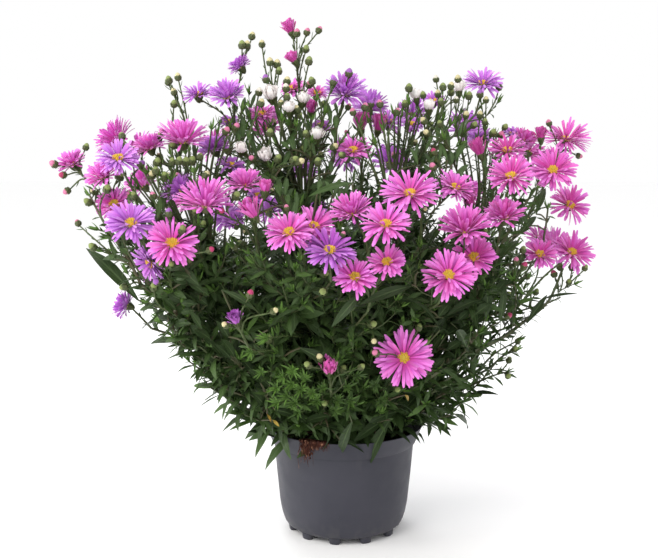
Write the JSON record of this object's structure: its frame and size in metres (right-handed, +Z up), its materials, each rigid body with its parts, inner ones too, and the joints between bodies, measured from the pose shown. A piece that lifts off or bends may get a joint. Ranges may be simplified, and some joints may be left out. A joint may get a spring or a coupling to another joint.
{
  "type": "potted aster",
  "caption": "Bushy New York aster in a grey nursery pot, with leafy branching stems and trusses of pink, violet and white daisy blooms, for a room, table or garden scene.",
  "frame": {"origin": "the pot's axis on the surface that the pot stands on, under the middle of the whole plant", "axes": "+Z up, along the pot's axis; +X to the right and +Y away from the viewer, with the side that the picture shows facing -Y"},
  "size_m": [0.4451, 0.3789, 0.4441],
  "materials": {
    "pot": "satin moulded plastic, blue-grey",
    "soil": "rough dark peat",
    "leaves": "matte green leaves and stems",
    "pink_bloom": "soft matte petals, pink",
    "violet_bloom": "soft matte petals, violet",
    "white_bloom": "soft matte petals, white"
  },
  "bodies": {
    "root": {"leafy_stem_01": "leaves", "leafy_stem_02": "leaves", "leafy_stem_03": "leaves", "leafy_stem_04": "leaves", "leafy_stem_05": "leaves", "leafy_stem_06": "leaves", "leafy_stem_07": "leaves", "leafy_stem_08": "leaves", "leafy_stem_09": "leaves", "leafy_stem_10": "leaves", "leafy_stem_11": "leaves", "leafy_stem_12": "leaves", "leafy_stem_13": "leaves", "pink_truss_01": "pink_bloom", "pink_truss_02": "pink_bloom", "pink_truss_03": "pink_bloom", "pink_truss_04": "pink_bloom", "pink_truss_05": "pink_bloom", "pink_truss_06": "pink_bloom", "pink_truss_07": "pink_bloom", "pink_truss_08": "pink_bloom", "pink_truss_09": "pink_bloom", "pink_truss_10": "pink_bloom", "pink_truss_11": "pink_bloom", "pink_truss_12": "pink_bloom", "pink_truss_13": "pink_bloom", "pink_truss_14": "pink_bloom", "pink_truss_15": "pink_bloom", "pink_truss_16": "pink_bloom", "pink_truss_17": "pink_bloom", "pink_truss_18": "pink_bloom", "pink_truss_19": "pink_bloom", "pink_truss_20": "pink_bloom", "pink_truss_21": "pink_bloom", "pink_truss_22": "pink_bloom", "pink_truss_23": "pink_bloom", "pink_truss_24": "pink_bloom", "pink_truss_25": "pink_bloom", "pink_truss_26": "pink_bloom", "pot": "pot", "soil": "soil", "violet_truss_01": "violet_bloom", "violet_truss_02": "violet_bloom", "violet_truss_03": "violet_bloom", "violet_truss_04": "violet_bloom", "violet_truss_05": "violet_bloom", "violet_truss_06": "violet_bloom", "violet_truss_07": "violet_bloom", "violet_truss_08": "violet_bloom", "violet_truss_09": "violet_bloom", "violet_truss_10": "violet_bloom", "violet_truss_11": "violet_bloom", "violet_truss_12": "violet_bloom", "violet_truss_13": "violet_bloom", "violet_truss_14": "violet_bloom", "violet_truss_15": "violet_bloom", "violet_truss_16": "violet_bloom", "white_truss_01": "white_bloom", "white_truss_02": "white_bloom", "white_truss_03": "white_bloom"}
  },
  "joints": []
}
